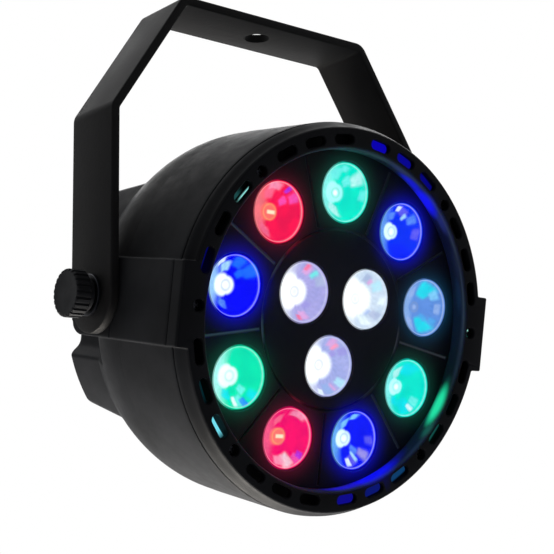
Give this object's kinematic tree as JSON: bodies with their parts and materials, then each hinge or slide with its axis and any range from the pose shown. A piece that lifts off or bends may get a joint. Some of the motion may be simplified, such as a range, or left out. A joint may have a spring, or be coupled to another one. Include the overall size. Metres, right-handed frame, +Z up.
{
  "type": "led stage light",
  "caption": "Small round stage light head with coloured collimating lenses, hung in a bent strip bracket and clamped by two side knobs.",
  "frame": {"origin": "centre of the hanging hole, on the top face of the bracket", "axes": "+Z up; the light shines along -Y, 10.2 degrees down at rest; +X to the right of someone who looks into the light"},
  "size_m": [0.1794, 0.109, 0.2],
  "materials": {
    "powder_coat": "fine-textured satin black powder coat",
    "shell_plastic": "fine-grained moulded black plastic",
    "rim_plastic": "smooth satin moulded black plastic",
    "knob_plastic": "moulded nylon",
    "acrylic": "clear polished acrylic",
    "steel": "zinc-plated",
    "brass": "turned",
    "aluminium": "extruded, bare",
    "rubber": "matt",
    "board_white": "white solder mask",
    "board_green": "green solder mask",
    "window": "dark red tinted, polished",
    "display": "smooth",
    "socket_plastic": "moulded nylon",
    "pin_metal": "nickel-plated",
    "winding": "yellow winding tape",
    "sleeve": "blue shrink sleeve",
    "cable": "soft sheath"
  },
  "bodies": {
    "bracket": {"bracket": "powder_coat", "washer_right": "steel", "washer_left": "steel"},
    "head": {"friction_disc_right": "rubber", "friction_disc_left": "rubber", "threaded_insert_right": "brass", "threaded_insert_left": "brass", "front_bezel": "rim_plastic", "lens_plate": "rim_plastic", "led_board": "board_white", "heat_sink": "aluminium", "front_shell": "shell_plastic", "rear_shell": "shell_plastic", "rear_panel": "powder_coat", "display_window": "window", "display_module": "display", "control_board": "board_green", "power_board": "board_green", "transformer": "winding", "mains_capacitor": "sleeve", "led_cable": "cable", "power_inlet": "socket_plastic", "microphone": "pin_metal", "signal_in_socket": "socket_plastic", "signal_in_pins": "pin_metal", "signal_out_socket": "socket_plastic", "signal_out_contacts": "socket_plastic", "lens_01": "acrylic", "lens_02": "acrylic", "lens_03": "acrylic", "lens_04": "acrylic", "lens_05": "acrylic", "lens_06": "acrylic", "lens_07": "acrylic", "lens_08": "acrylic", "lens_09": "acrylic", "lens_10": "acrylic", "lens_11": "acrylic", "lens_12": "acrylic", "rim_screw_1": "steel", "rim_screw_2": "steel", "rim_screw_3": "steel", "rim_screw_4": "steel", "rim_screw_5": "steel", "rim_screw_6": "steel", "panel_screw_1": "steel", "panel_screw_2": "steel", "panel_screw_3": "steel", "panel_screw_4": "steel"},
    "knob_right": {"knob_right": "knob_plastic", "stud_right": "steel"},
    "knob_left": {"knob_left": "knob_plastic", "stud_left": "steel"},
    "latch": {"signal_out_latch": "steel"},
    "button_1": {"button_1": "rubber"},
    "button_2": {"button_2": "rubber"},
    "button_3": {"button_3": "rubber"},
    "button_4": {"button_4": "rubber"}
  },
  "joints": [
    {"name": "head_tilt", "type": "hinge", "parent": "bracket", "child": "head", "pos_m": [0, 0, -0.119], "axis": [1, 0, 0], "range_deg": [-100.2, 79.8]},
    {"name": "knob_right_turn", "type": "hinge", "parent": "head", "child": "knob_right", "pos_m": [0, 0, -0.119], "axis": [1, 0, 0], "range_deg": [0, 360]},
    {"name": "knob_left_turn", "type": "hinge", "parent": "head", "child": "knob_left", "pos_m": [0, 0, -0.119], "axis": [-1, 0, 0], "range_deg": [0, 360]},
    {"name": "latch_press", "type": "slide", "parent": "head", "child": "latch", "axis": [0, -0.9842, -0.1771], "range_m": [0, 0.0011], "stiffness_N_per_m": 400, "springref_m": -0.001},
    {"name": "button_1_press", "type": "slide", "parent": "head", "child": "button_1", "axis": [0, -0.9842, -0.1771], "range_m": [0, 0.0008], "stiffness_N_per_m": 400, "springref_m": -0.001},
    {"name": "button_2_press", "type": "slide", "parent": "head", "child": "button_2", "axis": [0, -0.9842, -0.1771], "range_m": [0, 0.0008], "stiffness_N_per_m": 400, "springref_m": -0.001},
    {"name": "button_3_press", "type": "slide", "parent": "head", "child": "button_3", "axis": [0, -0.9842, -0.1771], "range_m": [0, 0.0008], "stiffness_N_per_m": 400, "springref_m": -0.001},
    {"name": "button_4_press", "type": "slide", "parent": "head", "child": "button_4", "axis": [0, -0.9842, -0.1771], "range_m": [0, 0.0008], "stiffness_N_per_m": 400, "springref_m": -0.001}
  ]
}
